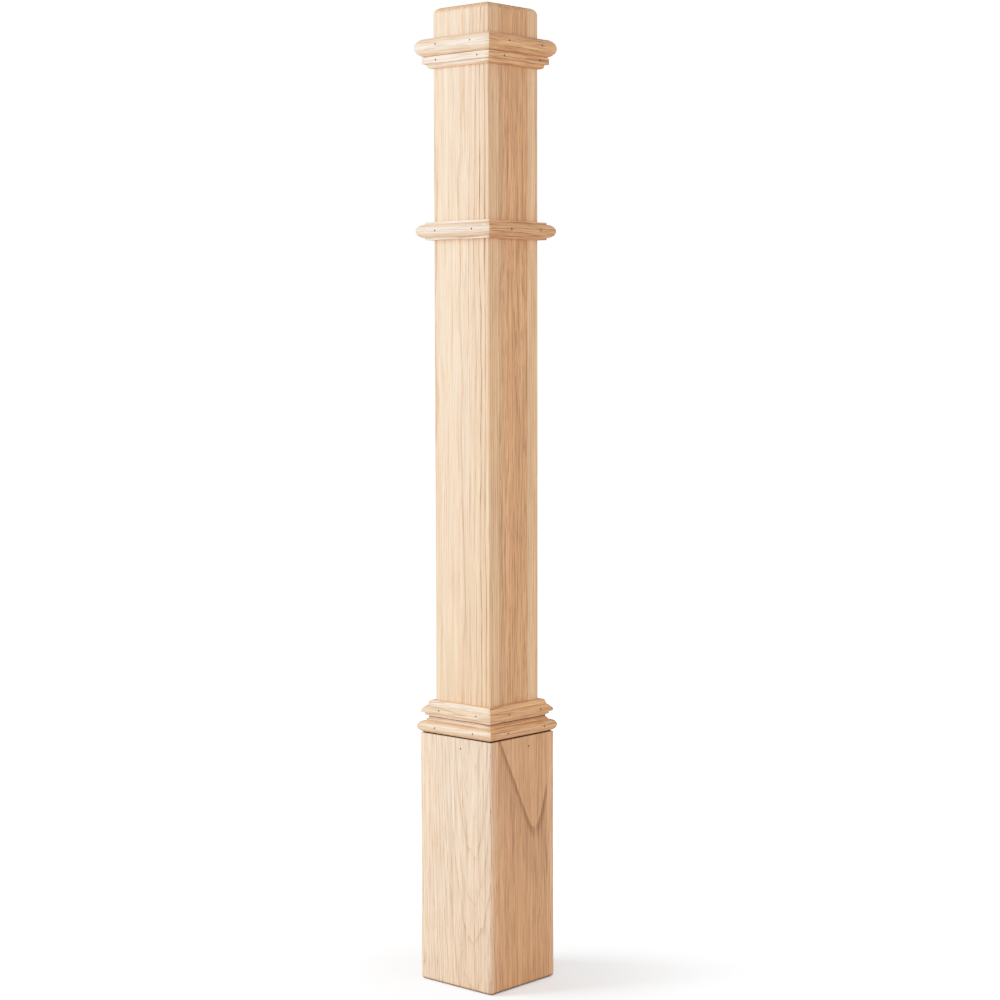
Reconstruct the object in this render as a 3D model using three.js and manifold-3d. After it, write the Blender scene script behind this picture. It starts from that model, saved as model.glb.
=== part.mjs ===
// A square box newel post in unfinished red oak, built up as a joiner builds it.
// Four boards make a hollow shaft with a rounded top, four more make a sleeve round its foot,
// and five bands of mitred moulding run round the shaft.
// Millimetres, +Z up, origin on the floor at the middle of the post.
import * as THREE from "three";
import { mergeVertices } from "three/addons/utils/BufferGeometryUtils.js";
import Module from "manifold-3d";

// Shaft: a hollow box of boards under a plugged, rounded top
const SHAFT_SIDE = 101.6;
const SHAFT_BOARD = 22.2;
const POST_HEIGHT = 1355.3;
const TOP_ROUND = 10;
const TOP_BLOCK_HEIGHT = 60;

// Base: a sleeve of thinner boards round the foot of the shaft
const BASE_SIDE = 132.5;
const BASE_HEIGHT = 352.3;
const BASE_FOOT_ROUND = 5;
const BASE_TOP_ROUND = 0.8;

// Clearances: the glue line between flat pieces, and the joint between two mitred ends
const GLUE_GAP = 0.3;
const MITRE_GAP = 0.3;

// Moulding bands: the height of each band's underside above the floor
const LOWER_TORUS_AT = BASE_HEIGHT + GLUE_GAP;
const LOWER_CAP_AT = 374.8;
const MID_BAND_AT = 1037.8;
const TOP_COVE_AT = 1271.9;
const TOP_BULLNOSE_AT = 1287.4;

// Lower torus strip: a half-round with a fillet and a neck over it
const TORUS_RADIUS = 8.4;
const TORUS_CENTRE = 10.9;
const TORUS_FILLET = { out: 9.6, height: 2.9 };
const NECK_OUT = 7.6;

// Lower cap strip: a neck, a fillet, an undercut nose and a bevel broken by a small quirk
const CAP_NECK_HEIGHT = 1.2;
const CAP_FILLET = { out: 11, height: 3.6 };
const CAP_NOSE = { out: 15.2, height: 2.4, undercut: 2.4 };
const CAP_QUIRK = { out: 10.3, step: 1.2, rise: 5.9 };
const CAP_LAND = 6.4;
const CAP_HEIGHT = 22.9;

// Mid band: a half-round between two fillets
const BAND_RADIUS = 9.35;
const BAND_FILLET = { out: 9, height: 3 };

// Top cove strip: an ovolo under a deep flat fillet
const COVE_OVOLO = { centre: 2.6, radius: 4 };
const COVE_FILLET = 11.4;
const COVE_FILLET_AT = 6;

// Top bullnose strip: a plain half-round
const BULLNOSE_RADIUS = 12.7;
const BULLNOSE_CENTRE = 6.35;

// Straight pieces chorded out of a round edge, and out of a half-round
const ROUND_STEPS = 6;
const CURVE_SEGMENTS = 10;

// The four sides of the post, each as a turn about +Z from the front, which faces -Y
const QUARTER_TURN = Math.PI / 2;
const SIDES = [
  { name: "front", turn: 0 },
  { name: "right", turn: QUARTER_TURN },
  { name: "back", turn: 2 * QUARTER_TURN },
  { name: "left", turn: -QUARTER_TURN },
];

const OAK_BOARD = new THREE.MeshStandardMaterial({ color: 0xdfbe96, roughness: 0.62, metalness: 0 });
const OAK_STRIP = new THREE.MeshStandardMaterial({ color: 0xdcb689, roughness: 0.58, metalness: 0 });
const OAK_BLOCK = new THREE.MeshStandardMaterial({ color: 0xc79d6f, roughness: 0.75, metalness: 0 });

const wasm = await Module();
wasm.setup();

// A closed three.js geometry as a solid that can be cut.
function solidOf(geometry) {
  const bare = geometry.clone();
  bare.deleteAttribute("normal");
  bare.deleteAttribute("uv");
  const merged = mergeVertices(bare);
  return new wasm.Manifold(
    new wasm.Mesh({
      numProp: 3,
      vertProperties: merged.attributes.position.array,
      triVerts: new Uint32Array(merged.index.array),
    }),
  );
}

// A cut solid back as a three.js geometry.
function geometryOf(solid) {
  const mesh = solid.getMesh();
  const geometry = new THREE.BufferGeometry();
  geometry.setAttribute("position", new THREE.BufferAttribute(mesh.vertProperties, 3));
  geometry.setIndex(new THREE.BufferAttribute(mesh.triVerts, 1));
  geometry.computeVertexNormals();
  return geometry;
}

// The quarter circle of an edge rounding, from one angle to a right angle further on.
function quarterRound(centreX, centreY, radius, from) {
  return Array.from({ length: ROUND_STEPS + 1 }, (_, i) => {
    const angle = from + (QUARTER_TURN * i) / ROUND_STEPS;
    return new THREE.Vector2(centreX + radius * Math.cos(angle), centreY + radius * Math.sin(angle));
  });
}

// A square block with rounded edges round its foot and its top: a lathe of four sides,
// whose corners stand the square root of two times further out than its faces.
function roundedBlock(side, height, footRound, topRound) {
  const half = side / 2;
  const profile = [
    new THREE.Vector2(0, 0),
    ...quarterRound(half - footRound, footRound, footRound, -QUARTER_TURN),
    ...quarterRound(half - topRound, height - topRound, topRound, 0),
    new THREE.Vector2(0, height),
  ];
  for (const point of profile) point.x *= Math.SQRT2;
  return new THREE.LatheGeometry(profile, SIDES.length, Math.PI / 4).rotateX(QUARTER_TURN);
}

// An upright board with its outer face towards -Y, and an edge across that face at each height.
function uprightBoard(width, thickness, outerFace, heights) {
  const spans = heights.length - 1;
  const board = new THREE.BoxGeometry(width, thickness, spans, 1, 1, spans);
  board.translate(0, thickness / 2 - outerFace, 0);
  const position = board.attributes.position;
  for (let i = 0; i < position.count; i += 1) {
    position.setZ(i, heights[Math.round(position.getZ(i) + spans / 2)]);
  }
  return board;
}

// Four boards round a square, the left and right ones across the ends of the front and back ones,
// trimmed to the rounded block that they make up.
function boxOfBoards(name, side, thickness, heights, block) {
  const trim = solidOf(block);
  const box = new THREE.Group();
  for (const { name: sideName, turn } of SIDES) {
    const between = sideName === "front" || sideName === "back";
    const width = between ? side - 2 * thickness - 2 * GLUE_GAP : side;
    const board = uprightBoard(width, thickness, side / 2, heights).rotateZ(turn);
    const mesh = new THREE.Mesh(geometryOf(solidOf(board).intersect(trim)), OAK_BOARD);
    mesh.name = `${name}_board_${sideName}`;
    box.add(mesh);
  }
  return box;
}

// A moulding profile starts at the glue line on the shaft's face.
// Its x runs outwards from that face, and its y upwards from the band's underside.
function startProfile() {
  return new THREE.Shape().moveTo(GLUE_GAP, 0);
}

function torusProfile() {
  const top = LOWER_CAP_AT - LOWER_TORUS_AT - GLUE_GAP;
  const filletAt = 2 * TORUS_RADIUS;
  return startProfile()
    .absarc(TORUS_CENTRE, TORUS_RADIUS, TORUS_RADIUS, -QUARTER_TURN, QUARTER_TURN)
    .lineTo(TORUS_FILLET.out, filletAt)
    .lineTo(TORUS_FILLET.out, filletAt + TORUS_FILLET.height)
    .lineTo(NECK_OUT, filletAt + TORUS_FILLET.height)
    .lineTo(NECK_OUT, top)
    .lineTo(GLUE_GAP, top);
}

function capProfile() {
  const filletTop = CAP_NECK_HEIGHT + CAP_FILLET.height;
  const noseAt = filletTop + CAP_NOSE.undercut;
  const noseTop = noseAt + CAP_NOSE.height;
  const quirkAt = noseTop + CAP_QUIRK.rise;
  return startProfile()
    .lineTo(NECK_OUT, 0)
    .lineTo(NECK_OUT, CAP_NECK_HEIGHT)
    .lineTo(CAP_FILLET.out, CAP_NECK_HEIGHT)
    .lineTo(CAP_FILLET.out, filletTop)
    .quadraticCurveTo(CAP_NOSE.out, filletTop, CAP_NOSE.out, noseAt)
    .lineTo(CAP_NOSE.out, noseTop)
    .lineTo(CAP_QUIRK.out, quirkAt)
    .lineTo(CAP_QUIRK.out - CAP_QUIRK.step, quirkAt)
    .lineTo(CAP_LAND, CAP_HEIGHT)
    .lineTo(GLUE_GAP, CAP_HEIGHT);
}

function bandProfile() {
  const roundTop = BAND_FILLET.height + 2 * BAND_RADIUS;
  const top = roundTop + BAND_FILLET.height;
  return startProfile()
    .lineTo(BAND_FILLET.out, 0)
    .absarc(BAND_FILLET.out, top / 2, BAND_RADIUS, -QUARTER_TURN, QUARTER_TURN)
    .lineTo(BAND_FILLET.out, top)
    .lineTo(GLUE_GAP, top);
}

function coveProfile() {
  const top = TOP_BULLNOSE_AT - TOP_COVE_AT - GLUE_GAP;
  return startProfile()
    .absarc(COVE_OVOLO.centre, COVE_OVOLO.radius, COVE_OVOLO.radius, -QUARTER_TURN, 0)
    .lineTo(COVE_OVOLO.centre + COVE_OVOLO.radius, COVE_FILLET_AT)
    .lineTo(COVE_FILLET, COVE_FILLET_AT)
    .lineTo(COVE_FILLET, top)
    .lineTo(GLUE_GAP, top);
}

function bullnoseProfile() {
  return startProfile()
    .absarc(BULLNOSE_CENTRE, BULLNOSE_RADIUS, BULLNOSE_RADIUS, -QUARTER_TURN, QUARTER_TURN)
    .lineTo(GLUE_GAP, 2 * BULLNOSE_RADIUS);
}

// A strip along the front face: the profile drawn out along X, each point as far as its mitre lets it.
function mitredStrip(profile) {
  const strip = new THREE.ExtrudeGeometry(profile, {
    depth: 1,
    bevelEnabled: false,
    curveSegments: CURVE_SEGMENTS,
  });
  const position = strip.attributes.position;
  for (let i = 0; i < position.count; i += 1) {
    const reach = SHAFT_SIDE / 2 + position.getX(i);
    const end = 1 - 2 * position.getZ(i);
    position.setXYZ(i, end * (reach - MITRE_GAP / Math.SQRT2), -reach, position.getY(i));
  }
  strip.computeVertexNormals();
  return strip;
}

// Four mitred strips round the shaft, with their underside at a height above the floor.
function mouldingBand(name, profile, height) {
  const band = new THREE.Group();
  band.position.z = height;
  for (const { name: sideName, turn } of SIDES) {
    const mesh = new THREE.Mesh(mitredStrip(profile), OAK_STRIP);
    mesh.name = `${name}_${sideName}`;
    mesh.rotation.z = turn;
    band.add(mesh);
  }
  return band;
}

// The block that closes the hollow shaft, its end grain level with the boards' ends.
function topBlock() {
  const side = SHAFT_SIDE - 2 * SHAFT_BOARD - 2 * GLUE_GAP;
  const mesh = new THREE.Mesh(new THREE.BoxGeometry(side, side, TOP_BLOCK_HEIGHT), OAK_BLOCK);
  mesh.name = "top_block";
  mesh.position.z = POST_HEIGHT - TOP_BLOCK_HEIGHT / 2;
  return mesh;
}

// The shaft's faces part at the bands that bound the upper block, where a handrail lands.
const railZone = [MID_BAND_AT + 2 * (BAND_FILLET.height + BAND_RADIUS), TOP_COVE_AT];
const shaftHeights = [0, railZone[0] + GLUE_GAP, railZone[1] - GLUE_GAP, POST_HEIGHT];
const baseBoard = (BASE_SIDE - SHAFT_SIDE) / 2 - GLUE_GAP;

const newelPost = new THREE.Group();
newelPost.add(
  boxOfBoards(
    "shaft",
    SHAFT_SIDE,
    SHAFT_BOARD,
    shaftHeights,
    roundedBlock(SHAFT_SIDE, POST_HEIGHT, 0, TOP_ROUND),
  ),
  topBlock(),
  boxOfBoards(
    "base",
    BASE_SIDE,
    baseBoard,
    [0, BASE_HEIGHT],
    roundedBlock(BASE_SIDE, BASE_HEIGHT, BASE_FOOT_ROUND, BASE_TOP_ROUND),
  ),
  mouldingBand("lower_torus", torusProfile(), LOWER_TORUS_AT),
  mouldingBand("lower_cap", capProfile(), LOWER_CAP_AT),
  mouldingBand("mid_band", bandProfile(), MID_BAND_AT),
  mouldingBand("top_cove", coveProfile(), TOP_COVE_AT),
  mouldingBand("top_bullnose", bullnoseProfile(), TOP_BULLNOSE_AT),
);

export default newelPost;
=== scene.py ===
"""Dresses a square box newel post of unfinished red oak.

The post is built up as a joiner builds it: a hollow shaft of four boards with a rounded top,
a sleeve of four boards round its foot, and five bands of mitred moulding pinned on with brads.
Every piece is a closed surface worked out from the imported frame, and every piece remembers the
place in the log that it was sawn from, so that rings, pores and rays run through it as in wood.
"""

import logging
import math
from dataclasses import dataclass, field, replace
from enum import Enum
from typing import Sequence, Union

import bpy
import numpy as np
from mathutils import Matrix, Vector


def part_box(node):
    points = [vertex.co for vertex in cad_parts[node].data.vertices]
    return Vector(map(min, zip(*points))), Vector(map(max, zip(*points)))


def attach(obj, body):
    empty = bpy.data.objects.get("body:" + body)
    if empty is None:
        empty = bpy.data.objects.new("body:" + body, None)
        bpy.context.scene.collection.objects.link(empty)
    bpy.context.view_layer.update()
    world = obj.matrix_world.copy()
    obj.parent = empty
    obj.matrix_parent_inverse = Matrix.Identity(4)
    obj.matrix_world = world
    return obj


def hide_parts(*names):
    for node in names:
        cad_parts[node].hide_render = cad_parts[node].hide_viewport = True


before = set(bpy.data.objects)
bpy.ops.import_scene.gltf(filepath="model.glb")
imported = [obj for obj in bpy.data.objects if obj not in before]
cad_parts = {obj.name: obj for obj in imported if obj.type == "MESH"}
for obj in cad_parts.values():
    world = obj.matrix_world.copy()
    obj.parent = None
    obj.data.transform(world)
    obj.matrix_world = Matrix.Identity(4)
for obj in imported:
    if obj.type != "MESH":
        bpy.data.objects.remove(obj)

LOG = logging.getLogger("newel_post")
MM = 0.001
BODY = "root"

# Attributes that a piece's mesh carries for its finish
LOG_PLACE = "log_place_mm"
LOG_DRIFT = "log_drift_mm"
END_GRAIN = "end_grain"
# Painted shade: how far a point is darkened to stand in for the shade in a brad hole and at the seams at a
# piece's foot and top
PAINTED_SHADE = "dark_painted_shade"

# Sizes of the grain's noise, in millimetres: across the log in x and y, and along it
SLOW_WAVER = (48, 48, 300)
QUICK_WAVER = (9, 9, 70)
SWELLS = (5, 5, 60)
DASH_WIDTH = 0.8
VEINS = (2.8, 2.8, 190)
PORES = (0.5, 0.5, 15)
FIBRES = (0.25, 0.25, 26)
STREAKS = (1.7, 1.7, 190)
STRIPES = (6, 6, 420)
CLOUDS = (26, 26, 330)
# A ray's size round the log, along it and outwards
RAYS = (1.3, 18, 34)

# How much of the wood's colour a feature takes over, and the tones of end grain and of the painted shade in
# brad holes and at seams
PORE_SHARE = 0.55
RAY_SHARE = 0.25
END_SHARE = 0.75
PAINTED_SHADE_SHARE = 0.95
END_TONE = (0.76, 0.67, 0.58)
PAINTED_SHADE_TONE = (0.035, 0.017, 0.008)

# Joints, in millimetres: how far a glued joint stays open, and how much a sharp arris is eased
JOINT_OPEN = 0.05
ARRIS_EASE = 0.2
CORNER_EASE = 0.7
SHARP_ANGLE = math.radians(32)

# A brad's head: how far it stands off its hole's floor, in millimetres, and its share of the hole's radius
HEAD_OFF_FLOOR = 0.2
HEAD_SHARE = 0.8

Colour = tuple[float, float, float]
Socket = bpy.types.NodeSocket
Value = Union[float, Socket]


class Side(Enum):
    """A side of the post, by the cosine and sine of the turn about +Z that brings the front to it."""

    FRONT = (1, 0)
    RIGHT = (0, 1)
    BACK = (-1, 0)
    LEFT = (0, -1)

    @property
    def word(self) -> str:
        """The side's name as the nodes spell it."""
        return self.name.lower()

    @property
    def along_x(self) -> bool:
        """True where pieces on this side run along X."""
        return self in (Side.FRONT, Side.BACK)

    def turned(self, points: np.ndarray) -> np.ndarray:
        """Points of the front side turned to this one.

        Args:
            points: an array whose last axis is x, y, z.

        Returns:
            The turned points, in the same layout.
        """
        cosine, sine = self.value
        x, y, z = np.moveaxis(points, -1, 0)
        return np.stack([cosine * x - sine * y, sine * x + cosine * y, z], axis=-1)


@dataclass(frozen=True)
class Brad:
    """A set brad: where its hole is along a piece and up its height, and the hole's size, in millimetres."""

    along: float
    up: float
    radius: float = 1.4
    depth: float = 1.6

    def nearby(self) -> np.ndarray:
        """Distances from the hole's middle at which the surface needs points of its own."""
        steps = np.array([0.0, 0.4, 0.7, 0.85, 0.95, 1.05, 1.2, 1.6])
        return self.radius * np.concatenate([-steps[:0:-1], steps])

    def share(self, distance: np.ndarray) -> np.ndarray:
        """How far a point lies in the hole: 1 on its floor, 0 outside, a smooth step across its rim.

        Args:
            distance: distance from the hole's middle along the surface.

        Returns:
            The share, in the layout of distance.
        """
        rim_ends = 1.08
        rim_width = 0.26
        step = np.clip((rim_ends - distance / self.radius) / rim_width, 0, 1)
        return step * step * (3 - 2 * step)


@dataclass(frozen=True)
class LogCut:
    """The place in a log that a piece was sawn from, in millimetres.

    The heart of the log lies pith_across to the side of the piece's middle and pith_behind behind its
    outer face. For each millimetre along the piece it goes lean further behind and sweep further across, and
    the rings widen by taper. The piece begins at start along the log.
    """

    pith_across: float
    pith_behind: float
    lean: float = 0.0
    sweep: float = 0.0
    taper: float = 0.0
    start: float = 0.0

    def place(self, across: np.ndarray, depth: np.ndarray, along: np.ndarray) -> np.ndarray:
        """Places in the log: x from the heart outwards, y across it and z along it, before the heart leans.

        Args:
            across: distance across the piece from its middle.
            depth: distance into the piece from its outer face.
            along: distance along the piece.

        Returns:
            An array whose last axis is the place in the log.
        """
        return np.stack([self.pith_behind - depth, across - self.pith_across, along + self.start], axis=-1)

    def drift(self, along: np.ndarray) -> np.ndarray:
        """How far the heart has leaned away, in x, swept aside, in y, and the rings have widened, in z."""
        return np.stack([self.lean * along, -self.sweep * along, -self.taper * (along + self.start)], axis=-1)

    def mark(self, piece: bpy.types.Object, across: np.ndarray, depth: np.ndarray, along: np.ndarray) -> None:
        """Writes the places in the log on a piece's points.

        Args:
            piece: the piece.
            across: distance across the piece from its middle.
            depth: distance into the piece from its outer face.
            along: distance along the piece.
        """
        set_attribute(piece, LOG_PLACE, self.place(across, depth, along).reshape(-1, 3))
        set_attribute(piece, LOG_DRIFT, self.drift(along).reshape(-1, 3))


class Graph:
    """A material's or a world's node tree, built up in small steps that each return an output or a node."""

    def __init__(self, owner: Union[bpy.types.Material, bpy.types.World]) -> None:
        """Takes over the owner's tree and empties it."""
        owner.use_nodes = True
        self.tree = owner.node_tree
        self.tree.nodes.clear()

    def node(self, kind: str, inputs: dict[Union[str, int], object], **settings: object) -> bpy.types.Node:
        """A node with its settings made and its inputs set or linked.

        Args:
            kind: the node's type name.
            inputs: a value or an output socket for each named or numbered input.
            **settings: the node's own properties.

        Returns:
            The new node.
        """
        made = self.tree.nodes.new(kind)
        for name, value in settings.items():
            setattr(made, name, value)
        for key, value in inputs.items():
            if isinstance(value, bpy.types.NodeSocket):
                self.tree.links.new(value, made.inputs[key])
            else:
                made.inputs[key].default_value = value
        return made

    def attribute(self, name: str, output: str) -> Socket:
        """An attribute of the mesh."""
        made = self.node("ShaderNodeAttribute", {}, attribute_type="GEOMETRY", attribute_name=name)
        return made.outputs[output]

    def math(self, operation: str, first: Value, second: Value = 0.0) -> Socket:
        """A sum on one or two numbers."""
        return self.node("ShaderNodeMath", {0: first, 1: second}, operation=operation).outputs[0]

    def vector(self, operation: str, first: object, second: object = (0, 0, 0)) -> bpy.types.Node:
        """A sum on one or two vectors, as its node."""
        return self.node("ShaderNodeVectorMath", {0: first, 1: second}, operation=operation)

    def scaled(self, place: Socket, cell: Sequence[float]) -> Socket:
        """A place counted in cells of a size in millimetres."""
        return self.vector("DIVIDE", place, tuple(cell)).outputs[0]

    def step(
        self, value: Value, low: float, high: float, at_low: Value = 0.0, at_high: Value = 1.0
    ) -> Socket:
        """A smooth step from one value to another as a number goes from low to high."""
        inputs = {0: value, 1: low, 2: high, 3: at_low, 4: at_high}
        return self.node("ShaderNodeMapRange", inputs, interpolation_type="SMOOTHSTEP").outputs[0]

    def noise(
        self, place: Socket, cell: Sequence[float], detail: float = 2.0, output: str = "Fac"
    ) -> Socket:
        """Soft noise in cells of a size in millimetres."""
        inputs = {"Vector": self.scaled(place, cell), "Scale": 1.0, "Detail": detail}
        return self.node("ShaderNodeTexNoise", inputs).outputs[output]

    def specks(self, place: Socket, cell: Sequence[float], low: float, high: float) -> Socket:
        """One drawn-out speck in each cell of a size in millimetres: 1 in its middle, 0 past its rim."""
        inputs = {"Vector": self.scaled(place, cell), "Scale": 1.0}
        far = self.node("ShaderNodeTexVoronoi", inputs, feature="F1").outputs["Distance"]
        return self.step(far, low, high, 1.0, 0.0)

    def parts(self, place: Socket) -> Sequence[Socket]:
        """The x, y and z of a place."""
        return self.node("ShaderNodeSeparateXYZ", {0: place}).outputs

    def grey(self, tone: Socket) -> Socket:
        """A colour with one number for its red, green and blue."""
        return self.node("ShaderNodeCombineColor", {0: tone, 1: tone, 2: tone}).outputs[0]

    def mix(self, share: Value, first: object, second: object, blend: str = "MIX") -> Socket:
        """A colour between two others, or one worked on the other."""
        inputs = {0: share, 6: first, 7: second}
        return self.node("ShaderNodeMix", inputs, data_type="RGBA", blend_type=blend).outputs[2]


def opaque(colour: Colour) -> tuple[float, float, float, float]:
    """A colour with full alpha, as a colour socket takes it."""
    return (*colour, 1.0)


@dataclass(frozen=True)
class RedOak:
    """Bare planed red oak: rings round the log's heart, pores in dark dashes, rays and fibre.

    Lengths are in millimetres. heart_ends and dark_years are distances from the log's heart. edge and
    band_ends are shares of a ring's width. The depths, late_dashes and weakest_year are shares from 0 to 1.
    """

    name: str
    slot: str
    ring: float
    late: Colour
    early: Colour
    pore: Colour = (0.26, 0.145, 0.07)
    ray: Colour = (0.5, 0.29, 0.15)
    blush: Colour = (1.04, 0.97, 0.92)
    dark: Colour = (0.15, 0.066, 0.016)
    heart: Colour = (0.82, 0.64, 0.5)
    heart_ends: tuple[float, float] = (0.0, 0.0)
    weakest_year: float = 0.35
    edge: float = 0.16
    band: float = 0.35
    band_ends: tuple[float, float] = (0.10, 0.55)
    dark_years: tuple[float, float] = (0.0, 0.0)
    dash: float = 90.0
    late_dashes: float = 0.3
    vein_depth: float = 0.65
    streak_depth: float = 0.16
    stripe_depth: float = 0.12
    waver: float = 5.0
    roughness: float = 0.42
    gloss: float = 0.62

    def wavered(self, graph: Graph, place: Socket, cell: Sequence[float], reach: float) -> Socket:
        """A place in the log moved across the grain by noise.

        Args:
            graph: the material's nodes.
            place: the place in the log.
            cell: the size of the noise.
            reach: how far it moves the place, from one side to the other.

        Returns:
            The moved place.
        """
        drift = graph.noise(place, cell, output="Color")
        drift = graph.vector("SUBTRACT", drift, (0.5, 0.5, 0.5)).outputs[0]
        drift = graph.vector("MULTIPLY", drift, (reach, reach, 0)).outputs[0]
        return graph.vector("ADD", place, drift).outputs[0]

    def hearted(self) -> Colour:
        """The late wood's colour near the log's heart."""
        return tuple(tone * share for tone, share in zip(self.late, self.heart))

    def early_wood(self, graph: Graph, radius: Socket) -> Socket:
        """How much of the wood is early wood: a dark line at each ring's edge with a paler band after it.

        Args:
            graph: the material's nodes.
            radius: the distance from the log's heart.

        Returns:
            The share of early wood, with some years stronger than others.
        """
        count = graph.math("DIVIDE", radius, self.ring)
        year = graph.math("FLOOR", count)
        phase = graph.math("FRACT", count)
        vigour = graph.node("ShaderNodeTexWhiteNoise", {"W": year}, noise_dimensions="1D").outputs["Value"]
        vigour = graph.step(vigour, 0.0, 1.0, self.weakest_year, 1.0)
        line = graph.step(phase, self.edge / 4, self.edge, 0.95, 0.0)
        band = graph.step(phase, *self.band_ends, self.band, 0.0)
        onset = graph.step(phase, 0.0, self.edge / 5)
        return graph.math("MULTIPLY", graph.math("MULTIPLY", onset, graph.math("ADD", line, band)), vigour)

    def dark_lines(self, graph: Graph, grown: Socket, radius: Socket) -> Socket:
        """The edges of the years between the two radii of dark_years, as long lines that swell and thin.

        Args:
            graph: the material's nodes.
            grown: the wavered place in the log.
            radius: the distance from the log's heart.

        Returns:
            Near 1 on a line where it swells, 0 away from it.
        """
        first, last = self.dark_years
        phase = graph.math("FRACT", graph.math("DIVIDE", radius, self.ring))
        line = graph.math("MULTIPLY", graph.step(phase, 0.0, 0.03), graph.step(phase, 0.08, 0.26, 0.95, 0.0))
        inside = graph.step(radius, first, first + 1)
        inside = graph.math("MULTIPLY", inside, graph.step(radius, last - 1, last, 1.0, 0.0))
        swell = graph.step(graph.noise(grown, SWELLS), 0.36, 0.56, 0.15, 1.0)
        return graph.math("MULTIPLY", graph.math("MULTIPLY", line, inside), swell)

    def rays(self, graph: Graph, grown: Socket, radius: Socket) -> Socket:
        """Thin flakes that stand along the grain and run out from the heart.

        Args:
            graph: the material's nodes.
            grown: the wavered place in the log.
            radius: the distance from the log's heart.

        Returns:
            1 in a ray, 0 outside.
        """
        parts = graph.parts(grown)
        angle = graph.math("ARCTAN2", parts[1], parts[0])
        arc = graph.math("MULTIPLY", angle, radius)
        place = graph.node("ShaderNodeCombineXYZ", {0: arc, 1: parts[2], 2: radius}).outputs[0]
        return graph.specks(place, RAYS, 0.12, 0.24)

    def material(self) -> bpy.types.Material:
        """The finish as a material, made once and shared.

        A ring's phase is the distance from the log's heart, wavered by noise, over the ring's width. Rings
        that a face cuts steeply, well to the side of the heart, show the sharpest lines.

        Returns:
            The material.
        """
        found = bpy.data.materials.get(self.name)
        if found:
            return found
        material = bpy.data.materials.new(self.name)
        graph = Graph(material)
        place = graph.attribute(LOG_PLACE, "Vector")
        grown = self.wavered(graph, place, SLOW_WAVER, 2 * self.waver)
        ringed = self.wavered(graph, grown, QUICK_WAVER, 0.4 * self.waver)
        drift = graph.attribute(LOG_DRIFT, "Vector")
        flat = graph.vector("MULTIPLY", graph.vector("ADD", ringed, drift).outputs[0], (1, 1, 0)).outputs[0]
        widened = graph.parts(drift)[2]
        true_radius = graph.vector("LENGTH", flat).outputs["Value"]
        radius = graph.math("ADD", true_radius, widened)
        aside = graph.math("ABSOLUTE", graph.parts(flat)[1])
        steep = graph.step(graph.math("DIVIDE", aside, true_radius), 0.05, 0.5, 0.45, 1.0)
        early = graph.math("MULTIPLY", self.early_wood(graph, radius), steep)

        # Pores open in dashes, crowded in the early wood and scattered in the late, and in long thin veins
        dashes = graph.noise(grown, (DASH_WIDTH, DASH_WIDTH, self.dash))
        dashes = graph.step(dashes, 0.50, 0.58)
        crowded = graph.math("MULTIPLY", early, graph.step(dashes, 0.0, 1.0, 0.5, 1.0))
        scattered = graph.math("MULTIPLY", dashes, graph.step(early, 0.0, 1.0, self.late_dashes, 0.0))
        level = graph.math("SUBTRACT", graph.noise(grown, VEINS), 0.5)
        veins = graph.step(graph.math("ABSOLUTE", level), 0.015, 0.05, self.vein_depth, 0.0)
        veins = graph.math("MULTIPLY", veins, graph.step(dashes, 0.0, 1.0, 0.3, 1.0))
        lines = graph.math("MAXIMUM", graph.math("ADD", crowded, scattered), veins)
        pores = graph.specks(grown, PORES, 0.18, 0.36)
        pores = graph.math("MULTIPLY", pores, graph.step(lines, 0.0, 0.6, 0.15, 1.0))
        fibre = graph.noise(grown, FIBRES)
        streaks = graph.noise(grown, STREAKS, 3.0)
        stripes = graph.noise(grown, STRIPES)
        clouds = graph.noise(place, CLOUDS)

        # Colour, from the broad tone down to the single pore
        late = opaque(self.late)
        if self.heart_ends[1] > 0:
            outwards = graph.parts(place)[0]
            late = graph.mix(graph.step(outwards, *self.heart_ends, 1.0, 0.0), late, opaque(self.hearted()))
        colour = graph.mix(lines, late, opaque(self.early))
        if self.dark_years[1] > 0:
            darkest = self.dark_lines(graph, grown, radius)
            colour = graph.mix(darkest, colour, opaque(self.dark))
            lines = graph.math("MAXIMUM", lines, darkest)
        blushed = graph.mix(1.0, colour, opaque(self.blush), "MULTIPLY")
        colour = graph.mix(graph.step(clouds, 0.3, 0.7), colour, blushed)
        shade = graph.step(streaks, 0.25, 0.75, -self.streak_depth, self.streak_depth)
        shade = graph.math("ADD", shade, graph.step(stripes, 0.3, 0.7, -self.stripe_depth, self.stripe_depth))
        shade = graph.math("ADD", shade, graph.step(fibre, 0.3, 0.7, 0.94, 1.06))
        colour = graph.mix(1.0, colour, graph.grey(shade), "MULTIPLY")
        colour = graph.mix(graph.math("MULTIPLY", pores, PORE_SHARE), colour, opaque(self.pore))
        flakes = graph.math("MULTIPLY", self.rays(graph, grown, radius), RAY_SHARE)
        colour = graph.mix(flakes, colour, opaque(self.ray))
        end = graph.attribute(END_GRAIN, "Fac")
        thirsty = graph.mix(1.0, colour, opaque(END_TONE), "MULTIPLY")
        colour = graph.mix(graph.math("MULTIPLY", end, END_SHARE), colour, thirsty)
        # Painted shade: brad holes and the seams at a piece's foot and top are darkened nearly to black
        hole = graph.attribute(PAINTED_SHADE, "Fac")
        colour = graph.mix(graph.math("MULTIPLY", hole, PAINTED_SHADE_SHARE), colour, opaque(PAINTED_SHADE_TONE))

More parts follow.
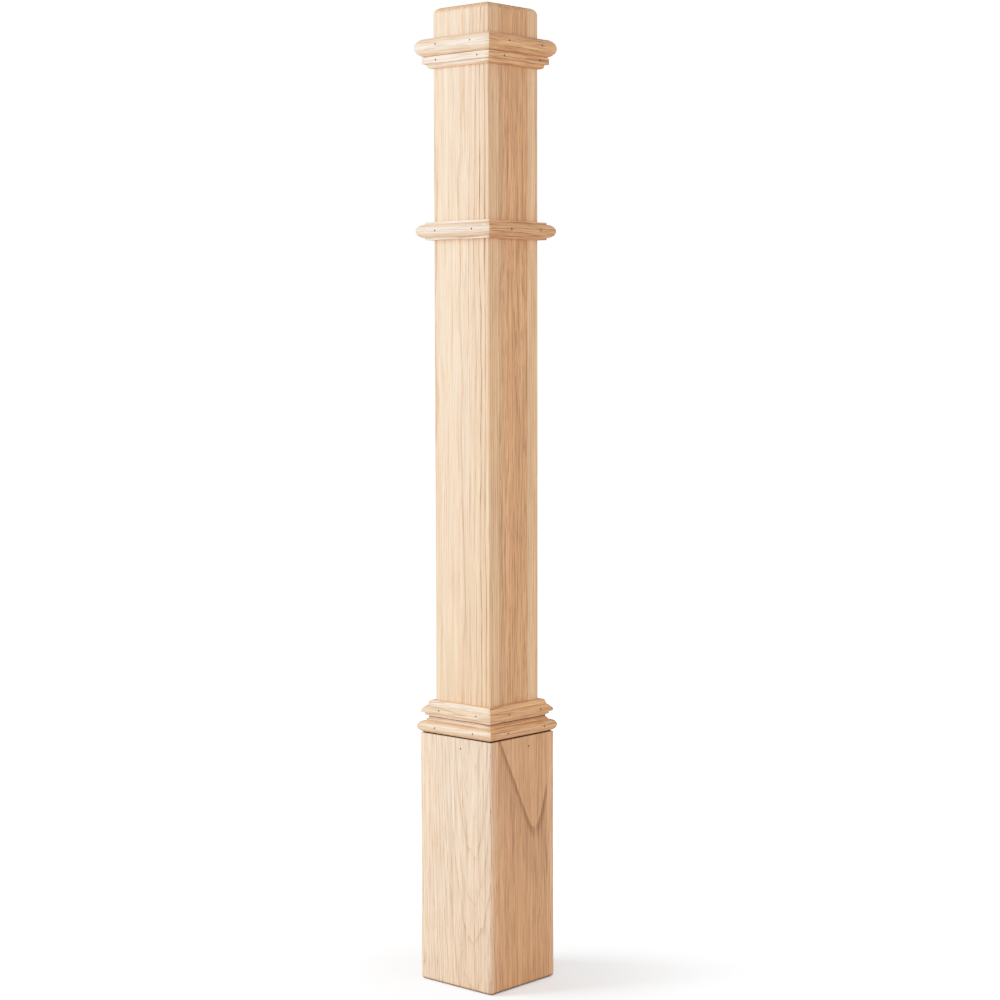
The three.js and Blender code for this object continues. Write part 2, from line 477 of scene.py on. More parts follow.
        # Open pores lie a little below the planed face
        relief = graph.math("SUBTRACT", graph.math("MULTIPLY", fibre, 0.2), pores)
        bump = graph.node("ShaderNodeBump", {"Strength": 0.4, "Distance": 0.1 * MM, "Height": relief})
        rough = graph.math("ADD", graph.math("MULTIPLY", pores, 0.2), graph.math("MULTIPLY", lines, 0.35))
        rough = graph.math("ADD", rough, self.roughness)
        shader = graph.node(
            "ShaderNodeBsdfPrincipled",
            {
                "Base Color": colour,
                "Roughness": rough,
                "Specular IOR Level": self.gloss,
                "Normal": bump.outputs[0],
            },
        )
        graph.node("ShaderNodeOutputMaterial", {"Surface": shader.outputs[0]})
        return material


@dataclass(frozen=True)
class DarkSteel:
    """The dull head of a brad, blued and a little dusty."""

    name: str = "brad_steel"
    slot: str = "brad"
    colour: Colour = (0.02, 0.017, 0.015)
    dust: Colour = (0.07, 0.05, 0.035)
    speck: float = 0.4
    roughness: float = 0.55

    def material(self) -> bpy.types.Material:
        """The finish as a material, made once and shared.

        Returns:
            The material.
        """
        found = bpy.data.materials.get(self.name)
        if found:
            return found
        material = bpy.data.materials.new(self.name)
        graph = Graph(material)
        place = graph.node("ShaderNodeTexCoord", {}).outputs["Object"]
        specks = graph.noise(place, (self.speck * MM,) * 3)
        colour = graph.mix(graph.step(specks, 0.45, 0.7), opaque(self.colour), opaque(self.dust))
        shader = graph.node(
            "ShaderNodeBsdfPrincipled",
            {"Base Color": colour, "Metallic": 0.4, "Roughness": self.roughness},
        )
        graph.node("ShaderNodeOutputMaterial", {"Surface": shader.outputs[0]})
        return material


def eased_corners(corners: np.ndarray, eases: np.ndarray, steps: int) -> np.ndarray:
    """A closed outline with each corner turned on an arc.

    At a corner whose sides meet at an angle, the arc touches each side at ease / tan(angle / 2) from the
    corner and its centre lies on the bisector at ease / sin(angle / 2). The arc is the even turn between the
    two directions from that centre to the touching points.

    Args:
        corners: the corners in order, one row each.
        eases: the radius at each corner.
        steps: the straight pieces chorded out of each arc.

    Returns:
        An array of corners by steps + 1 by 2.
    """
    back = np.roll(corners, 1, axis=0) - corners
    on = np.roll(corners, -1, axis=0) - corners
    back /= np.linalg.norm(back, axis=1, keepdims=True)
    on /= np.linalg.norm(on, axis=1, keepdims=True)
    half = np.arccos(np.clip((back * on).sum(1), -1, 1)) / 2
    bisector = back + on
    bisector /= np.linalg.norm(bisector, axis=1, keepdims=True)
    centre = corners + bisector * (eases / np.sin(half))[:, None]
    reach = (eases / np.tan(half))[:, None]
    first = corners + back * reach - centre
    last = corners + on * reach - centre
    sweep = (math.pi - 2 * half)[:, None]
    share = np.linspace(0, 1, steps + 1)[None, :]
    start = np.sin((1 - share) * sweep) / np.sin(sweep)
    end = np.sin(share * sweep) / np.sin(sweep)
    return centre[:, None] + start[..., None] * first[:, None] + end[..., None] * last[:, None]


def lengths_round(loop: np.ndarray) -> np.ndarray:
    """The distance of each point of a closed loop from the first, along the loop, and the whole way round."""
    sides = np.linalg.norm(np.roll(loop, -1, axis=0) - loop, axis=1)
    return np.concatenate([[0], np.cumsum(sides)])


def with_points_at(loop: np.ndarray, distances: np.ndarray) -> np.ndarray:
    """A closed loop with further points at distances along it.

    Args:
        loop: the loop's points, one row each.
        distances: where to add points.

    Returns:
        The loop's own points and the new ones, in order.
    """
    round_it = lengths_round(loop)
    closed = np.vstack([loop, loop[:1]])
    every = np.union1d(round_it[:-1], distances)
    return np.stack([np.interp(every, round_it, closed[:, i]) for i in range(2)], axis=1)


def outward_normals(loop: np.ndarray) -> np.ndarray:
    """Unit normals of a closed loop that runs anticlockwise, from the mean of the sides at each point."""
    on = np.roll(loop, -1, axis=0) - loop
    on /= np.maximum(np.linalg.norm(on, axis=1, keepdims=True), 1e-12)
    along = on + np.roll(on, 1, axis=0)
    along /= np.maximum(np.linalg.norm(along, axis=1, keepdims=True), 1e-12)
    return np.stack([along[:, 1], -along[:, 0]], axis=1)


def smooth_object(name: str, points: np.ndarray, faces: list[list[int]]) -> bpy.types.Object:
    """An object at the origin, shaded smooth but for its sharp edges.

    Args:
        name: the object's name.
        points: one row each, in metres.
        faces: the points of each face.

    Returns:
        The object, linked to the scene.
    """
    mesh = bpy.data.meshes.new(name)
    mesh.from_pydata(points.tolist(), [], faces)
    mesh.shade_smooth()
    mesh.set_sharp_from_angle(angle=SHARP_ANGLE)
    made = bpy.data.objects.new(name, mesh)
    bpy.context.scene.collection.objects.link(made)
    return made


def closed_tube(name: str, rings: np.ndarray) -> bpy.types.Object:
    """A closed mesh of loops joined one to the next, with a flat cap on the first and the last.

    Args:
        name: the object's name.
        rings: loops by points by 3, in metres.

    Returns:
        The object, at the origin, with its faces pointing out.
    """
    count, size = rings.shape[:2]
    index = np.arange(count * size).reshape(count, size)
    here, there = index[:-1], index[1:]
    quads = np.stack([here, np.roll(here, -1, 1), np.roll(there, -1, 1), there], axis=-1).reshape(-1, 4)
    points = rings.reshape(-1, 3)
    corners = points[quads] - points.mean(0)
    facing = np.cross(corners[:, 2] - corners[:, 0], corners[:, 3] - corners[:, 1])
    outwards = (facing * corners.mean(1)).sum() > 0
    faces = quads.tolist() + [index[0, ::-1].tolist(), index[-1].tolist()]
    if not outwards:
        faces = [face[::-1] for face in faces]
    return smooth_object(name, points, faces)


def painted_seam_shade(up: np.ndarray, height: float, foot: float, top: float) -> np.ndarray:
    """How dark a piece is painted with shade at its seams: 1 at its foot and its top, 0 past a distance from
    them.

    The dark is the square root of an even fade, so that it is strong at first and then falls away.

    Args:
        up: height over the piece's foot.
        height: the piece's height.
        foot: the distance that the dark reaches up from the foot.
        top: the distance that it reaches down from the top.

    Returns:
        The share, in the layout of up.
    """
    at_foot = np.clip(1 - up / foot, 0, 1) if foot else 0 * up
    at_top = np.clip(1 - (height - up) / top, 0, 1) if top else 0 * up
    return np.sqrt(np.maximum(at_foot, at_top))


def set_attribute(piece: bpy.types.Object, name: str, values: np.ndarray) -> None:
    """Writes an attribute on each point of a piece.

    Args:
        piece: the piece.
        name: the attribute's name.
        values: a number or a vector for each point.
    """
    kind, key = ("FLOAT_VECTOR", "vector") if values.shape[-1:] == (3,) else ("FLOAT", "value")
    made = piece.data.attributes.new(name, kind, "POINT")
    made.data.foreach_set(key, np.ascontiguousarray(values, np.float32).ravel())


def dress(piece: bpy.types.Object, finish: Union[RedOak, DarkSteel], *nodes: str) -> bpy.types.Object:
    """Gives a piece its finish and its body, and hides the solids that it stands for.

    Args:
        piece: the piece.
        finish: its finish.
        *nodes: the solids that it stands for.

    Returns:
        The piece.
    """
    piece.data.materials.append(finish.material())
    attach(piece, BODY)
    if nodes:
        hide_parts(*nodes)
    return piece


def brad_heads(name: str, middles: np.ndarray, facings: np.ndarray, radius: float) -> bpy.types.Object:
    """Low domes at the bottoms of the brad holes, as one mesh.

    A head is a disc of rings round its middle that rises as 1 - share squared from its rim.

    Args:
        name: the object's name.
        middles: the middle of each head.
        facings: the way each head faces.
        radius: a head's radius, in metres.

    Returns:
        The object, at the origin.
    """
    spokes = 12
    shares = np.array([1.0, 0.75, 0.4])
    rise = 0.3 * radius
    up = np.array([0.0, 0.0, 1.0])
    across = np.cross(up, facings)
    across /= np.linalg.norm(across, axis=1, keepdims=True)
    over = np.cross(facings, across)
    angles = np.linspace(0, 2 * math.pi, spokes, endpoint=False)
    disc = across[:, None] * np.cos(angles)[None, :, None] + over[:, None] * np.sin(angles)[None, :, None]
    lift = rise * (1 - shares**2)
    rings = (
        middles[:, None, None]
        + radius * shares[None, :, None, None] * disc[:, None]
        + lift[None, :, None, None] * facings[:, None, None]
    )
    back = middles[:, None, None] + radius * disc[:, None] - rise * facings[:, None, None]
    rings = np.concatenate([back, rings], axis=1)
    heads, levels = rings.shape[:2]
    index = np.arange(heads * levels * spokes).reshape(heads, levels, spokes)
    here, there = index[:, :-1], index[:, 1:]
    quads = np.stack([here, np.roll(here, -1, 2), np.roll(there, -1, 2), there], axis=-1).reshape(-1, 4)
    caps = index[:, -1].tolist() + index[:, 0, ::-1].tolist()
    return smooth_object(name, rings.reshape(-1, 3), quads.tolist() + caps)


@dataclass
class BoardBox:
    """Four upright boards round a square: left and right the full width, front and back between them."""

    name: str
    round_foot: float
    round_top: float
    cuts: dict[Side, LogCut]
    finishes: dict[Side, RedOak]
    joint_gap: float = 0.3
    brads: dict[Side, Brad] = field(default_factory=dict)
    # How far painted shade reaches up from the foot and down from the top, in millimetres
    foot_shade: float = 0.0
    top_shade: float = 0.0
    foot_inset: float = 1.5
    arc_steps: int = 3
    round_steps: int = 12

    def node(self, side: Side) -> str:
        """The name of the board on a side."""
        return f"{self.name}_board_{side.word}"

    def size(self, side: Side) -> tuple[float, float, float, float]:
        """Half a board's width, how far out its outer and inner faces are, and its height, in millimetres."""
        low, high = (np.array(corner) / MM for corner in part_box(self.node(side)))
        across, through = (0, 1) if side.along_x else (1, 0)
        half = (high[across] - low[across]) / 2
        faces = sorted((abs(low[through]), abs(high[through])))
        if side.along_x:
            half += self.joint_gap - JOINT_OPEN
        return half, faces[1], faces[0], high[2]

    def heights(self, height: float, brad: Union[Brad, None]) -> tuple[np.ndarray, np.ndarray, np.ndarray]:
        """The heights of a board's rings, how far its faces draw in there, and their shares of end grain.

        A rounding draws a face in by radius * (1 - cos) as it rises by radius * sin. The first ring lies on
        the foot's flat, inside the rounding.

        Args:
            height: the board's height.
            brad: a brad whose hole needs rings of its own.

        Returns:
            Heights, drawings in and shares of end grain, from the foot up.
        """
        angle = np.linspace(0, math.pi / 2, self.round_steps + 1)
        foot = self.round_foot * (1 - np.sin(angle[::-1]))
        top = height - self.round_top * (1 - np.sin(angle))
        drawn = 1 - np.cos(angle)
        middle = np.linspace(foot[-1], top[0], 10)[1:-1]
        if brad:
            middle = np.union1d(middle, brad.up + brad.nearby())
        z = np.concatenate([foot[:1], foot, middle, top])
        inset = self.round_foot + self.foot_inset
        draw = np.concatenate([[inset], self.round_foot * drawn[::-1], 0 * middle, self.round_top * drawn])
        end = np.concatenate([[1], np.sin(angle[::-1]) ** 2, 0 * middle, np.sin(angle) ** 2])
        return z, draw, end

    def board(self, side: Side) -> bpy.types.Object:
        """One board: an eased rectangle carried up the post and drawn in at its rounded ends.

        Args:
            side: the side of the post.

        Returns:
            The dressed board.
        """
        half, outer, inner, height = self.size(side)
        brad = self.brads.get(side)
        z, draw, end = self.heights(height, brad)
        corners = np.array([[-half, -outer], [half, -outer], [half, -inner], [-half, -inner]])
        outer_ease = ARRIS_EASE if side.along_x else CORNER_EASE
        eases = np.array([outer_ease, outer_ease, ARRIS_EASE, ARRIS_EASE])
        loop = eased_corners(corners, eases, self.arc_steps).reshape(-1, 2)
        if brad:
            face_starts = lengths_round(loop)[self.arc_steps]
            loop = with_points_at(loop, face_starts + half - outer_ease + brad.along + brad.nearby())
        across_share = 1 - (0 if side.along_x else 1) * draw / half
        depth_share = 1 - draw / (outer - inner)
        across = loop[None, :, 0] * across_share[:, None]
        through = -inner + (loop[None, :, 1] + inner) * depth_share[:, None]
        along = np.broadcast_to(z[:, None], across.shape)
        hole = np.zeros_like(across)
        if brad:
            on_face = np.isclose(loop[:, 1], -outer)[None, :]
            hole = brad.share(np.hypot(across - brad.along, along - brad.up)) * on_face
            through = through + brad.depth * hole
        # Painted shade in the brad hole and at the foot and the top, where the board meets the floor or the
        # next piece
        hollow = np.maximum(hole, painted_seam_shade(along, height, self.foot_shade, self.top_shade))
        hollow[0] = 0
        depth = outer + through
        rings = side.turned(np.stack([across, through, along], axis=-1)) * MM
        piece = closed_tube(f"oak_{self.node(side)}", rings)
        self.cuts[side].mark(piece, across, depth, along)
        set_attribute(piece, END_GRAIN, np.broadcast_to(end[:, None], across.shape).ravel())
        set_attribute(piece, PAINTED_SHADE, hollow.ravel())
        return dress(piece, self.finishes[side], self.node(side))

    def heads(self) -> list[bpy.types.Object]:
        """The brads' heads, as one piece where there are any."""
        if not self.brads:
            return []
        middles, facings = [], []
        for side, brad in self.brads.items():
            outer = self.size(side)[1]
            middle = np.array([brad.along, brad.depth - outer - HEAD_OFF_FLOOR, brad.up])
            middles.append(side.turned(middle * MM))
            facings.append(side.turned(np.array([0.0, -1.0, 0.0])))
        radius = min(brad.radius for brad in self.brads.values()) * HEAD_SHARE * MM
        piece = brad_heads(f"{self.name}_brads", np.array(middles), np.array(facings), radius)
        return [dress(piece, DarkSteel())]

    def build(self) -> list[bpy.types.Object]:
        """The four boards and their brads."""
        return [self.board(side) for side in Side] + self.heads()


@dataclass
class MouldingBand:
    """Four mitred strips round the shaft, each pinned with brads.

    The profile's corners are given as the distance out from the shaft's face, the height over the band's
    underside and the radius that the corner is turned on, in millimetres. It starts and ends at the shaft.
    """

    name: str
    corners: tuple[tuple[float, float, float], ...]
    brads: dict[bool, tuple[Brad, ...]]
    cuts: dict[Side, LogCut]
    finishes: dict[Side, RedOak]
    # How far painted shade reaches up from the underside and down from the top, in millimetres
    foot_shade: float = 0.0
    top_shade: float = 0.0
    mitre_open: float = 0.05
    arc_steps: int = 14
    spans: int = 12

    def node(self, side: Side) -> str:
        """The name of the strip on a side."""
        return f"{self.name}_{side.word}"

    def shaft_half(self) -> float:
        """Half the shaft's width, in millimetres."""
        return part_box("shaft_board_left")[1].y / MM

    def underside(self) -> float:
        """The height of the band's underside over the floor, in millimetres."""
        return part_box(self.node(Side.FRONT))[0].z / MM

    def profile(self) -> np.ndarray:
        """The strip's outline, anticlockwise: out from the shaft's face and up from the underside."""
        given = np.array(self.corners)
        arcs = eased_corners(given[:, :2], given[:, 2], self.arc_steps)
        return arcs.reshape(-1, 2)

    def on_face(self, loop: np.ndarray, up: float) -> float:
        """The distance along the profile of the outermost point at a height over the underside.

        Args:
            loop: the profile.
            up: the height.

        Returns:
            The distance along the profile from its first point.
        """
        trials = 4000
        level_counts = 40
        fine = np.linspace(0, lengths_round(loop)[-1], trials)
        closed = np.vstack([loop, loop[:1]])
        out, height = (np.interp(fine, lengths_round(loop), closed[:, i]) for i in range(2))
        return float(fine[np.argmax(out - level_counts * np.abs(height - up))])

    def strip(self, side: Side) -> bpy.types.Object:
        """One strip: the profile carried along the side, each point as far as its mitre lets it.

        Args:
            side: the side of the post.

        Returns:
            The dressed strip.
        """
        half = self.shaft_half()
        brads = self.brads[side.along_x]
        loop = self.profile()
        spots = [self.on_face(loop, brad.up) for brad in brads]
        near = [spot + brad.nearby() for spot, brad in zip(spots, brads)]
        loop = with_points_at(loop, np.concatenate(near))
        distance = lengths_round(loop)[:-1]
        normal = outward_normals(loop)
        out, up = loop[:, 0], loop[:, 1]

        # Shares of the way from the middle to the mitre, closer together at the brads
        reach = half + out - self.mitre_open
        at_brads = [
            (brad.along + brad.nearby()) / np.interp(spot, distance, reach)
            for spot, brad in zip(spots, brads)
        ]
        share = np.union1d(np.linspace(-1, 1, self.spans + 1), np.concatenate(at_brads))
        lip = ARRIS_EASE / half
        share = np.concatenate([[-1, -1 + lip], share[1:-1], [1 - lip, 1]])
        along = share[:, None] * reach[None, :]

        # Holes go in along the normal, and the mitred ends are eased by the same way
        hole = np.zeros_like(along)
        for spot, brad in zip(spots, brads):
            hole = np.maximum(hole, brad.share(np.hypot(along - brad.along, distance[None, :] - spot)))
        sunk = hole * max(brad.depth for brad in brads)
        sunk[[0, -1]] = ARRIS_EASE / 2
        out_there = out[None, :] - sunk * normal[None, :, 0]
        up_there = up[None, :] - sunk * normal[None, :, 1]
        points = np.stack([along, -half - out_there, self.underside() + up_there], axis=-1)

        piece = closed_tube(f"oak_{self.node(side)}", side.turned(points) * MM)
        end = np.zeros_like(along)
        end[[0, -1]] = 1
        self.cuts[side].mark(piece, up_there, -out_there, along)
        set_attribute(piece, END_GRAIN, end.ravel())
        # Painted shade at the underside and the top, where the strip meets the next piece
        seams = painted_seam_shade(up, up.max(), self.foot_shade, self.top_shade)
        set_attribute(piece, PAINTED_SHADE, np.maximum(hole, seams[None, :]).ravel())
        return dress(piece, self.finishes[side], self.node(side))

    def heads(self) -> bpy.types.Object:
        """The heads of the band's brads, as one piece."""
        loop = self.profile()
        closed = np.vstack([loop, loop[:1]])
        normal = np.vstack([outward_normals(loop), outward_normals(loop)[:1]])
        round_it = lengths_round(loop)
        middles, facings = [], []
        for side in Side:
            for brad in self.brads[side.along_x]:
                spot = self.on_face(loop, brad.up)
                out, up = (np.interp(spot, round_it, closed[:, i]) for i in range(2))
                facing = np.array([np.interp(spot, round_it, normal[:, i]) for i in range(2)])
                facing /= np.linalg.norm(facing)
                out, up = np.array([out, up]) - facing * (brad.depth - HEAD_OFF_FLOOR)
                middle = np.array([brad.along, -self.shaft_half() - out, self.underside() + up])
                middles.append(side.turned(middle))
                facings.append(side.turned(np.array([0.0, -facing[0], facing[1]])))
        radius = min(brad.radius for brads in self.brads.values() for brad in brads) * HEAD_SHARE * MM
        piece = brad_heads(f"{self.name}_brads", np.array(middles) * MM, np.array(facings), radius)
        return dress(piece, DarkSteel())

    def build(self) -> list[bpy.types.Object]:
        """The four strips and their brads."""
        return [self.strip(side) for side in Side] + [self.heads()]


@dataclass
class TopBlock:
    """The block that closes the hollow shaft, with its end grain level with the boards' ends."""

    cut: LogCut
    finish: RedOak
    joint_gap: float = 0.3
    arc_steps: int = 3
    node: str = "top_block"

    def build(self) -> list[bpy.types.Object]:
        """An eased square carried up the block, drawn in a little at both ends.

        Returns:
            The dressed block, alone in a list.
        """
        low, high = (np.array(corner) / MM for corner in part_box(self.node))
        half = high[0] + self.joint_gap - JOINT_OPEN
        corners = half * np.array([[-1, -1], [1, -1], [1, 1], [-1, 1]])
        loop = eased_corners(corners, np.full(4, ARRIS_EASE), self.arc_steps).reshape(-1, 2)
        z = np.array([low[2], low[2] + ARRIS_EASE, high[2] - ARRIS_EASE, high[2]])
        end = np.array([1.0, 0.0, 0.0, 1.0])
        share = 1 - end * ARRIS_EASE / half
        across = loop[None, :, 0] * share[:, None]
        through = loop[None, :, 1] * share[:, None]
        along = np.broadcast_to(z[:, None], across.shape)
        piece = closed_tube(f"oak_{self.node}", np.stack([across, through, along], axis=-1) * MM)
        self.cut.mark(piece, across, through, along)
        set_attribute(piece, END_GRAIN, np.broadcast_to(end[:, None], across.shape).ravel())
        return [dress(piece, self.finish, self.node)]


@dataclass
class Studio:
    """A pale floor, an even sky, soft light from the left and the front, and the camera, in metres."""

    camera_at: tuple[float, float, float] = (-2.2663, -2.0592, 0.8967)
    turn_deg: float = -48.09
    down_deg: float = 4.089
    roll_deg: float = -0.119
    lens_mm: float = 79.22
    floor_half: float = 9.0
    floor_grey: float = 0.6
    floor_shown: tuple[float, float] = (1.6, 5.0)
    floor_fades: tuple[float, float] = (0.1, 0.7)
    sky: float = 0.62
    white_at: float = 2.4
    shoulder: float = 1.3

    def floor(self) -> None:
        """A wide square floor under the post."""
        corners = self.floor_half * np.array([[-1, -1, 0], [1, -1, 0], [1, 1, 0], [-1, 1, 0]], float)
        mesh = bpy.data.meshes.new("studio_floor")
        mesh.from_pydata(corners.tolist(), [], [[0, 1, 2, 3]])
        floor = bpy.data.objects.new("studio_floor", mesh)
        bpy.context.scene.collection.objects.link(floor)
        material = bpy.data.materials.new("pale_floor")
        graph = Graph(material)
        looks = graph.node("ShaderNodeLightPath", {}).outputs["Is Camera Ray"]
        place = graph.node("ShaderNodeTexCoord", {}).outputs["Object"]
        away = graph.vector("LENGTH", place).outputs["Value"]
        shown = graph.step(away, *self.floor_fades, *self.floor_shown)
        tone = graph.node("ShaderNodeMapRange", {0: looks, 3: self.floor_grey, 4: shown}).outputs[0]
        shader = graph.node("ShaderNodeBsdfDiffuse", {"Color": graph.grey(tone)})
        graph.node("ShaderNodeOutputMaterial", {"Surface": shader.outputs[0]})
        mesh.materials.append(material)

    def world(self) -> None:
        """An even white sky, with a plain white backdrop where the camera looks past the post."""
        world = bpy.data.worlds.new("studio_sky")
        bpy.context.scene.world = world
        graph = Graph(world)
        looks = graph.node("ShaderNodeLightPath", {}).outputs["Is Camera Ray"]
        strength = graph.node("ShaderNodeMapRange", {0: looks, 3: self.sky, 4: self.white_at}).outputs[0]
        sky = graph.node("ShaderNodeBackground", {"Color": opaque((1, 1, 1)), "Strength": strength})
        graph.node("ShaderNodeOutputWorld", {"Surface": sky.outputs[0]})

    def softbox(
        self, name: str, at: Sequence[float], to: Sequence[float], size: Sequence[float], watts: float
    ) -> None:
        """A rectangle of light that the camera doesn't see.

        Args:
            name: the light's name.
            at: its middle.
            to: the point that it faces.
            size: its width and height.
            watts: its power.
        """
        data = bpy.data.lights.new(name, "AREA")
        data.shape = "RECTANGLE"
        data.size, data.size_y = size
        data.energy = watts
        light = bpy.data.objects.new(name, data)
        turn = (Vector(to) - Vector(at)).to_track_quat("-Z", "Y")
        light.matrix_world = Matrix.LocRotScale(Vector(at), turn, None)
        light.visible_camera = False
        bpy.context.scene.collection.objects.link(light)

    def lights(self) -> None:
        """A tall softbox on the left, whose sheen the left faces give back, and a wide one in front."""
        self.softbox("left_softbox", at=(-1.75, 1.58, 1.35), to=(0, 0, 0.75), size=(1.3, 2.6), watts=108.0)
        self.softbox("front_softbox", at=(0.4, -2.8, 0.95), to=(0, 0, 0.6), size=(1.8, 1.8), watts=42.0)

    def camera(self) -> None:
        """The camera at the photograph's angle."""
        data = bpy.data.cameras.new("camera")
        data.lens = self.lens_mm
        data.sensor_width = 36.0
        camera = bpy.data.objects.new("camera", data)
        turn = Matrix.Rotation(math.radians(self.turn_deg), 4, "Z")
        tip = Matrix.Rotation(math.radians(90 - self.down_deg), 4, "X")
        roll = Matrix.Rotation(math.radians(self.roll_deg), 4, "Z")
        camera.matrix_world = Matrix.Translation(self.camera_at) @ turn @ tip @ roll
        bpy.context.scene.collection.objects.link(camera)
        bpy.context.scene.camera = camera

    def film(self) -> None:
        """A soft shoulder, as film has: shown = 1 - exp(-shoulder * light), brought to white at white_at."""
        view = bpy.context.scene.view_settings
        view.view_transform = "Standard"
        view.use_curve_mapping = True
        mapping = view.curve_mapping
        mapping.extend = "HORIZONTAL"
        mapping.white_level = (self.white_at,) * 3
        share = np.linspace(0, 1, 9)
        shown = 1 - np.exp(-self.shoulder * self.white_at * share)
        shown /= shown[-1]
        curve = mapping.curves[3]
        for x, y in zip(share[1:-1], shown[1:-1]):
            curve.points.new(x, y)
        mapping.update()

    def build(self) -> None:
        """Sets up the floor, sky, lights, camera and film."""
        self.floor()
        self.world()
        self.lights()
        self.camera()
        self.film()


def by_turns(front: RedOak, left: RedOak) -> dict[Side, RedOak]:
    """A finish for each side: the front's also at the back, and the left's also on the right."""
    return {side: front if side.along_x else left for side in Side}


# Finishes
PALE_BOARD = RedOak(
    "oak_pale_board", "oak_board", ring=3.6, late=(0.83, 0.44, 0.218), early=(0.25, 0.105, 0.04),
    weakest_year=0.6, edge=0.32, dark_years=(142.0, 148.6), vein_depth=0.5, streak_depth=0.15, waver=3.0,
)
TAN_BOARD = RedOak(
    "oak_tan_board", "oak_board", ring=4.0, late=(0.715, 0.32, 0.131), early=(0.2, 0.075, 0.022), band=0.12,
    dash=55.0, late_dashes=0.65,
)
BASE_PALE = RedOak(
    "oak_base_pale", "oak_board", ring=4.4, late=(0.92, 0.56, 0.35), early=(0.23, 0.095, 0.03),
    heart_ends=(63.5, 70.5), weakest_year=0.5, late_dashes=0.42, vein_depth=0.7,
)
BASE_TAN = RedOak(
    "oak_base_tan", "oak_board", ring=200.0, late=(0.63, 0.285, 0.12), early=(0.22, 0.09, 0.033),
    weakest_year=0.95, edge=0.05, band=0.65, band_ends=(0.03, 0.3), late_dashes=0.4, dash=60.0,
)
# The strips' finishes are a lit and a shaded copy of one moulding stock, painted light and shade: the pale,
# glossier one for the left strip, which takes the light, and the tan one for the front, which is in shade.
# The right and back strips copy the left and the front, and the two lowest bands take a darker copy of the
# pale one.
LIT_SIDE_STRIP = RedOak(
    "oak_strip_lit_side", "oak_strip", ring=4.2, late=(0.91, 0.57, 0.35), early=(0.24, 0.105, 0.038), dash=50.0,
    late_dashes=0.55, waver=3.0, gloss=0.9,
)
SHADED_SIDE_STRIP = RedOak(
    "oak_strip_shaded_side", "oak_strip", ring=4.2, late=(0.78, 0.35, 0.142), early=(0.19, 0.075, 0.026), dash=50.0,
    late_dashes=0.75, waver=3.0, gloss=0.7,
)
LOW_LIT_SIDE_STRIP = replace(LIT_SIDE_STRIP, name="oak_strip_low_lit_side", late=(0.86, 0.48, 0.25))
STRIPS = by_turns(SHADED_SIDE_STRIP, LIT_SIDE_STRIP)
LOW_STRIPS = by_turns(SHADED_SIDE_STRIP, LOW_LIT_SIDE_STRIP)
BLOCK = RedOak("oak_block_end", "oak_block", ring=3.8, late=(0.70, 0.38, 0.19), early=(0.35, 0.17, 0.07))


def shaft() -> BoardBox:
    """The hollow shaft, with long slow figure on its wide boards."""
    return BoardBox(
        name="shaft",
        round_foot=0.3,
        round_top=10.0,
        cuts={
            Side.FRONT: LogCut(pith_across=-95, pith_behind=75, lean=0.004, start=700),
            Side.RIGHT: LogCut(pith_across=-18, pith_behind=131.4, start=4100),
            Side.BACK: LogCut(pith_across=-13, pith_behind=96, lean=0.008, start=6200),
            Side.LEFT: LogCut(pith_across=-25, pith_behind=131.4),
        },
        finishes=by_turns(TAN_BOARD, PALE_BOARD),
    )


def base() -> BoardBox:
    """The sleeve round the foot, with bold flat-sawn figure."""
    return BoardBox(
        name="base",
        round_foot=5.0,
        round_top=1.4,
        # Painted shade along the foot, where the sleeve stands on the floor, and at the top, under the lower
        # torus
        foot_shade=4.4,
        top_shade=1.2,
        cuts={
            Side.FRONT: LogCut(pith_across=53, pith_behind=12, sweep=-0.119, taper=0.357, start=367.8),
            Side.RIGHT: LogCut(pith_across=-30, pith_behind=69, lean=-0.06, start=2500),
            Side.BACK: LogCut(pith_across=-12, pith_behind=92, lean=0.09, start=3400),
            Side.LEFT: LogCut(pith_across=34, pith_behind=71, lean=-0.07, start=1200),
        },
        finishes=by_turns(BASE_TAN, BASE_PALE),
        brads={
            Side.FRONT: Brad(along=13.1, up=337.4),
            Side.RIGHT: Brad(along=-8.0, up=337.0),
            Side.BACK: Brad(along=6.0, up=338.0),
            Side.LEFT: Brad(along=10.6, up=337.5),
        },
    )


def strip_cuts(start: float) -> dict[Side, LogCut]:
    """The four strips of a band, sawn one after another from the same length of stock."""
    return {
        side: LogCut(
            pith_across=6 - 9 * i, pith_behind=38 + 7 * i, lean=0.02 * (-1) ** i, start=start + 170 * i
        )
        for i, side in enumerate(Side)
    }


def pins(left: Sequence[float], front: Sequence[float], up: float) -> dict[bool, tuple[Brad, ...]]:
    """A band's brads: on the strips that run along X as on the front, on the others as on the left."""
    return {
        True: tuple(Brad(along, up) for along in front),
        False: tuple(Brad(along, up) for along in left),
    }


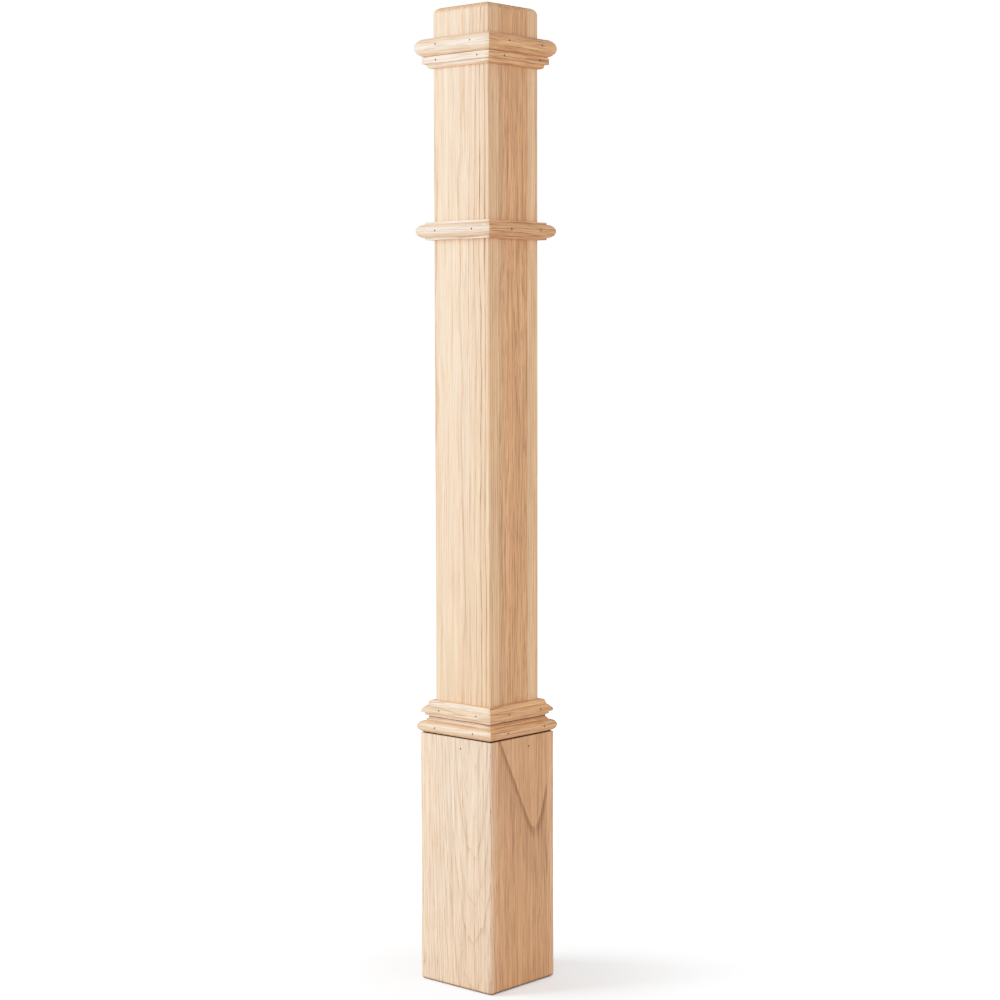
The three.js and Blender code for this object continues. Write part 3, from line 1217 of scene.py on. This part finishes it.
def bands() -> list[MouldingBand]:
    """The five bands of moulding, from the foot up."""
    ease = 0.25
    back = JOINT_OPEN
    return [
        MouldingBand(
            name="lower_torus",
            corners=(
                (back, 0, ease), (19.3, 0, 8.39), (19.3, 16.8, 8.39), (9.6, 16.8, 0.05),
                (9.6, 19.7, 0.6), (7.6, 19.7, ease), (7.6, 22.15, ease), (back, 22.15, ease),
            ),
            brads=pins(left=(-35.3, 36.4), front=(-34.1, 42.2), up=9.0),
            cuts=strip_cuts(9000),
            finishes=LOW_STRIPS,
            # Painted shade where the torus sits on the sleeve and under the lower cap
            foot_shade=2.2,
            top_shade=1.6,
        ),
        MouldingBand(
            name="lower_cap",
            corners=(
                (back, 0, ease), (7.6, 0, ease), (7.6, 1.2, ease), (11, 1.2, 0.5), (11, 4.8, 0.3),
                (15.2, 4.8, 2.3), (15.2, 9.6, 0.5), (10.3, 15.5, 0.4), (9.1, 15.5, 0.3), (6.4, 22.9, 0.6),
                (back, 22.9, ease),
            ),
            brads=pins(left=(-31.9, 37.8), front=(-26.2, 39.7), up=10.8),
            cuts=strip_cuts(10000),
            finishes=LOW_STRIPS,
            # Painted shade where the cap sits on the torus
            foot_shade=1.2,
        ),
        MouldingBand(
            name="mid_band",
            corners=(
                (back, 0, ease), (9, 0, 0.6), (9, 3, 0.05), (18.35, 3, 9.34), (18.35, 21.7, 9.34),
                (9, 21.7, 0.05), (9, 24.7, 0.6), (back, 24.7, ease),
            ),
            brads=pins(left=(-32.0, 36.3), front=(-23.8, 36.7), up=12.5),
            cuts=strip_cuts(11000),
            finishes=STRIPS,
        ),
        MouldingBand(
            name="top_cove",
            corners=(
                (back, 0, ease), (6.6, 0, 4.0), (6.6, 6, ease), (11.4, 6, 0.5), (11.4, 15.45, ease),
                (back, 15.45, ease),
            ),
            brads=pins(left=(-35.7, 40.8), front=(-30.3, 42.7), up=10.6),
            cuts=strip_cuts(12000),
            finishes=STRIPS,
        ),
        MouldingBand(
            name="top_bullnose",
            corners=((back, 0, ease), (19.05, 0, 12.69), (19.05, 25.4, 12.69), (back, 25.4, ease)),
            brads=pins(left=(-29.4, 34.8), front=(-28.2, 38.8), up=14.8),
            cuts=strip_cuts(13000),
            finishes=STRIPS,
        ),
    ]


def main() -> None:
    """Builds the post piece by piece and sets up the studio."""
    logging.basicConfig(level=logging.INFO, format="%(name)s: %(message)s")
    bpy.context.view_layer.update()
    block = TopBlock(cut=LogCut(pith_across=14, pith_behind=22, start=5000), finish=BLOCK)
    for assembly in [shaft(), block, base(), *bands()]:
        for piece in assembly.build():
            LOG.info("%s: %d faces", piece.name, len(piece.data.polygons))
    Studio().build()


if __name__ == "__main__":
    main()
